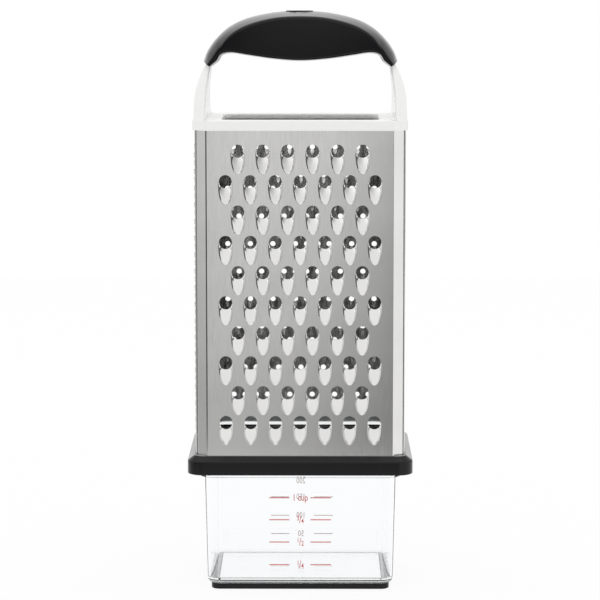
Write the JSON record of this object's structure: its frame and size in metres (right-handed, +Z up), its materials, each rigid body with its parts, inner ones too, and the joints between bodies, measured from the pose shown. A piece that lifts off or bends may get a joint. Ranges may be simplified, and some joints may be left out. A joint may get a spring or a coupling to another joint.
{
  "type": "box grater with measuring container",
  "caption": "Upright four-sided steel grater with an arched carrying handle and soft grip, standing on a clear measuring container that lifts off.",
  "frame": {"origin": "middle of the underside, on the surface that the object stands on", "axes": "+Z up, +X along the wide side towards the slicing side, -Y towards the coarse side that faces the viewer"},
  "size_m": [0.11, 0.0866, 0.2836],
  "materials": {
    "clear_plastic": "clear moulded plastic, glossy",
    "soft_black": "soft moulded rubber, matt",
    "black_plastic": "hard moulded plastic, satin",
    "steel": "stainless sheet, bright satin",
    "white_plastic": "white moulded plastic, light gloss"
  },
  "bodies": {
    "container": {"container": "clear_plastic", "container_foot": "soft_black"},
    "grater": {"base_frame": "black_plastic", "base_skirt": "soft_black", "coarse_panel": "steel", "medium_panel": "steel", "fine_panel": "steel", "slicer_panel": "steel", "handle_frame": "white_plastic", "grip": "soft_black", "grip_inlay": "black_plastic"}
  },
  "joints": [
    {"name": "container_lift_off", "type": "slide", "parent": "container", "child": "grater", "axis": [0, 0, 1], "range_m": [0, 0.06]}
  ]
}
